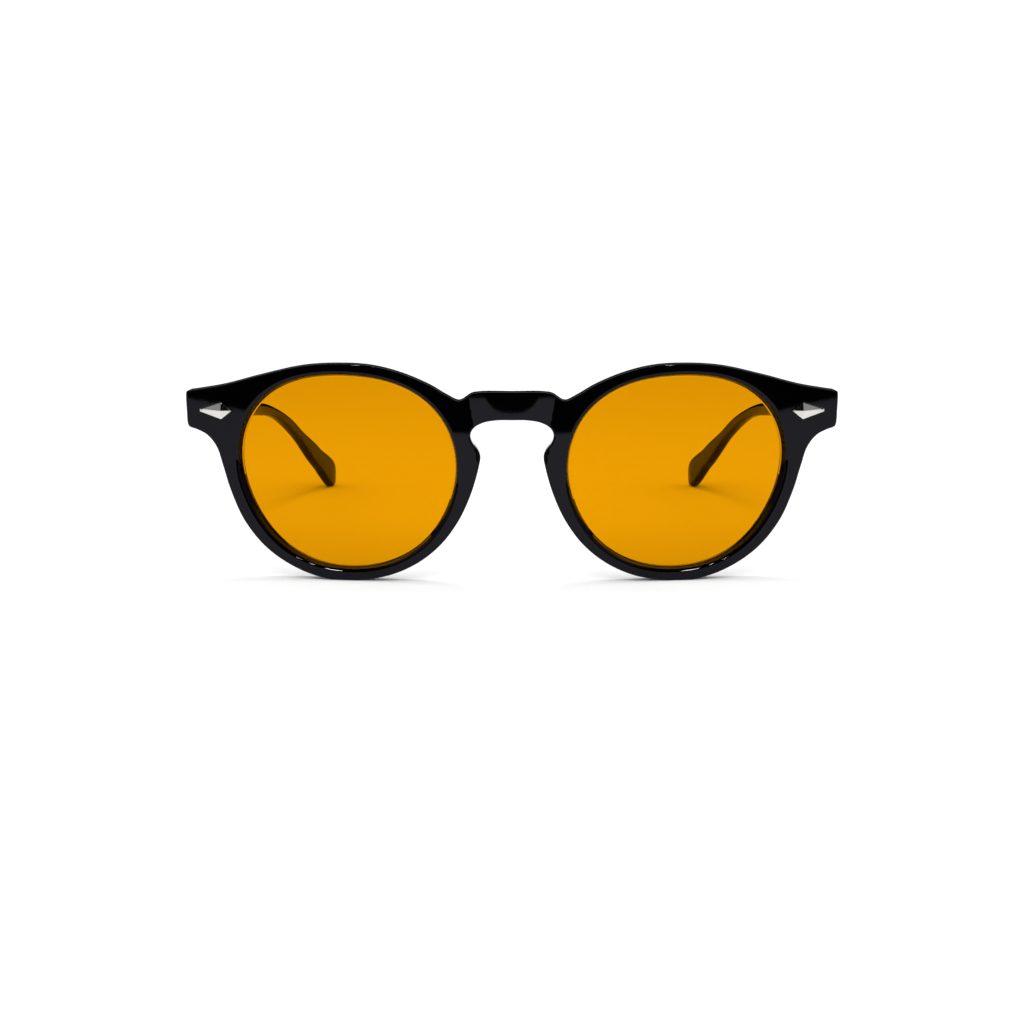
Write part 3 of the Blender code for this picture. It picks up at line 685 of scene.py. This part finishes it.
def amber_sheet(name):
    """Tinted sheet lens, which only dims what lamps and lit surfaces send through it."""
    made, nodes, links, shader = shader_of(name)
    shade = noise(nodes, links, 40.0, 2.0)
    links.new(tint(nodes, links, shade, *AMBER_COLOURS), shader.inputs["Base Color"])
    shader.inputs["Transmission Weight"].default_value = 1.0
    shader.inputs["Roughness"].default_value = 0.0
    shader.inputs["IOR"].default_value = AMBER_IOR
    shader.inputs["Specular Tint"].default_value = (*AMBER_GLOSS, 1.0)
    clear = nodes.new("ShaderNodeBsdfTransparent")
    clear.inputs["Color"].default_value = (*AMBER_SHADOW, 1.0)
    path = nodes.new("ShaderNodeLightPath")
    mix = nodes.new("ShaderNodeMixShader")
    lamplight = nodes.new("ShaderNodeMath")
    lamplight.operation = "MAXIMUM"
    links.new(path.outputs["Is Shadow Ray"], lamplight.inputs[0])
    links.new(path.outputs["Is Diffuse Ray"], lamplight.inputs[1])
    links.new(lamplight.outputs["Value"], mix.inputs["Fac"])
    links.new(shader.outputs["BSDF"], mix.inputs[1])
    links.new(clear.outputs["BSDF"], mix.inputs[2])
    links.new(mix.outputs["Shader"], nodes["Material Output"].inputs["Surface"])
    return made


def metal(name, colours, roughness, grain, stretch):
    """Plated or satin metal, with a fine grain in its colour, gloss and surface."""
    made, nodes, links, shader = shader_of(name)
    lines = noise(nodes, links, grain, 6.0, stretch)
    links.new(tint(nodes, links, lines, *colours), shader.inputs["Base Color"])
    links.new(spread(nodes, links, lines, *roughness), shader.inputs["Roughness"])
    add_bump(nodes, links, shader, lines, 0.15, 0.00001)
    shader.inputs["Metallic"].default_value = 1.0
    return made


def dress(obj, finish, slot, body, *nodes):
    obj.data.materials.clear()
    obj.data.materials.append(finish)
    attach(obj, body)
    if nodes:
        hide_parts(*nodes)


def dress_cad_node(node, finish):
    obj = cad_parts[node]
    for material_slot in obj.material_slots:
        material_slot.material = finish
    worn(obj, *HARDWARE_WEAR)


# Stage


def area_light(name, place, target, size, power):
    data = bpy.data.lights.new(name, "AREA")
    data.shape = "RECTANGLE"
    data.size, data.size_y = size
    data.energy = power
    light = bpy.data.objects.new(name, data)
    light.location = place
    light.rotation_euler = (Vector(target) - Vector(place)).to_track_quat("-Z", "Y").to_euler()
    light.visible_camera = False
    bpy.context.scene.collection.objects.link(light)
    return light


def stage_plane(name, low, high, height, colour):
    bm = bmesh.new()
    corners = ((low[0], low[1]), (high[0], low[1]), (high[0], high[1]), (low[0], high[1]))
    bm.faces.new([bm.verts.new((x, y, height)) for x, y in corners])
    mesh = bpy.data.meshes.new(name)
    bm.to_mesh(mesh)
    bm.free()
    obj = bpy.data.objects.new(name, mesh)
    bpy.context.scene.collection.objects.link(obj)
    made, _, _, shader = shader_of(name)
    shader.inputs["Base Color"].default_value = (*colour, 1.0)
    shader.inputs["Roughness"].default_value = STAGE_ROUGHNESS
    shader.inputs["Specular IOR Level"].default_value = 0.0
    mesh.materials.append(made)
    return obj


def studio_world():
    """White all round for the floor and the eye.

    In reflections it is dark in front, grey at the sides, and bright high up behind.
    """
    world = bpy.data.worlds.new("studio")
    world.use_nodes = True
    nodes = world.node_tree.nodes
    links = world.node_tree.links
    white = nodes["Background"]
    white.inputs["Color"].default_value = (1.0, 1.0, 1.0, 1.0)
    white.inputs["Strength"].default_value = DOME
    place = nodes.new("ShaderNodeTexCoord")
    split = nodes.new("ShaderNodeSeparateXYZ")
    links.new(place.outputs["Generated"], split.inputs["Vector"])

    def ramp(value, start, end, low, high):
        remap = nodes.new("ShaderNodeMapRange")
        remap.interpolation_type = "SMOOTHSTEP"
        remap.inputs["From Min"].default_value = start
        remap.inputs["From Max"].default_value = end
        remap.inputs["To Min"].default_value = low
        remap.inputs["To Max"].default_value = high
        links.new(value, remap.inputs["Value"])
        return remap.outputs["Result"]

    def combine(operation, *values):
        node = nodes.new("ShaderNodeMath")
        node.operation = operation
        for socket, value in zip(node.inputs, values):
            links.new(value, socket)
        return node.outputs["Value"]

    sides = ramp(combine("ABSOLUTE", split.outputs["X"]), *SIDE_EDGE, FRONT_DARK, SIDE_GREY)
    high = ramp(split.outputs["Z"], *SKY_LOW_EDGE, 0.0, 1.0)
    behind = ramp(split.outputs["Y"], *SKY_FRONT_EDGE, 0.0, BACK_SKY)
    strength = combine("MAXIMUM", sides, combine("MULTIPLY", high, behind))
    studio_walls = nodes.new("ShaderNodeBackground")
    links.new(strength, studio_walls.inputs["Strength"])
    path = nodes.new("ShaderNodeLightPath")
    mix = nodes.new("ShaderNodeMixShader")
    links.new(path.outputs["Is Glossy Ray"], mix.inputs["Fac"])
    links.new(white.outputs["Background"], mix.inputs[1])
    links.new(studio_walls.outputs["Background"], mix.inputs[2])
    links.new(mix.outputs["Shader"], nodes["World Output"].inputs["Surface"])
    bpy.context.scene.world = world


def studio():
    """Floor, black sheet in front that only reflections see, world and lamps."""
    stage_plane("floor", (-FLOOR, -FLOOR), (FLOOR, FLOOR), FLOOR_HEIGHT, FLOOR_COLOUR)
    flag_end = (FRONT_Y + WHITE_FLOOR_END) * MM
    flag = stage_plane("front_flag", (-FLOOR, -FLOOR), (FLOOR, flag_end), FLAG_HEIGHT, FLAG_COLOUR)
    flag.visible_camera = False
    flag.visible_shadow = False
    flag.visible_diffuse = False
    flag.visible_transmission = False
    studio_world()
    for lamp in (area_light("overhead", *OVERHEAD_LAMP), area_light("front", *FRONT_LAMP)):
        lamp.visible_glossy = False
    for side_name, side in SIDES:
        for count, (toward, spot, size, power) in enumerate(SPARKLES, 1):
            target = Vector((side * spot[0], FRONT_Y + spot[1], spot[2])) * MM
            place = target + Vector((side * toward[0], toward[1], toward[2])) * SPARKLE_DISTANCE
            lamp = area_light(f"sparkle_{side_name}_{count}", place, target, size, power)
            lamp.data.spread = SPARKLE_SPREAD
            lamp.visible_diffuse = False
            lamp.visible_transmission = False


def photo_camera():
    data = bpy.data.cameras.new("camera")
    data.lens = CAMERA_LENS
    data.sensor_width = SENSOR_WIDTH
    data.clip_start = 0.01
    camera = bpy.data.objects.new("camera", data)
    camera.location = (0.0, (FRONT_Y - CAMERA_DISTANCE) * MM, CAMERA_HEIGHT * MM)
    camera.rotation_euler = (math.pi / 2 - CAMERA_PITCH, 0.0, 0.0)
    bpy.context.scene.collection.objects.link(camera)
    bpy.context.scene.camera = camera


# The whole scene

black = acetate("black_acetate_polished")
# The temples' acetate is a copy of the front's with darker reflections: a painted shade.
temple_painted_shade_black = acetate("black_acetate_temple_painted_shade", specular=0.12, gloss=TEMPLE_PAINTED_SHADE_TINT)
pad_black = acetate("black_acetate_pad", roughness=(0.10, 0.18))
amber = amber_sheet("amber_sheet_lens")
silver = metal("silver_plate", SILVER_COLOURS, (0.05, 0.10), 700.0, (1.0, 1.0, 4.0))
steel = metal("satin_nickel_silver", STEEL_COLOURS, (0.22, 0.38), 900.0, (1.0, 1.0, 12.0))

dress(front_piece(), black, "black_acetate", "front", "front_frame")
for side_name, side in SIDES:
    lens = lens_piece(f"amber_lens_{side_name}", side)
    dress(lens, amber, "amber_lens", "front", f"lens_{side_name}")
    nose_pad = nose_pad_piece(f"acetate_pad_{side_name}", side)
    dress(nose_pad, pad_black, "black_acetate", "front", f"nose_pad_{side_name}")
    plaque = plaque_piece(f"silver_plaque_{side_name}", side)
    dress(plaque, silver, "polished_silver", "front", f"end_plaque_{side_name}")
    temple_body = f"temple_{side_name}"
    temple = temple_piece(f"acetate_temple_{side_name}", side)
    dress(temple, temple_painted_shade_black, "black_acetate", temple_body, temple_body)
    for node in HARDWARE:
        dress_cad_node(f"{node}_{side_name}", steel)

studio()
photo_camera()
bpy.context.scene.view_settings.view_transform = "Standard"
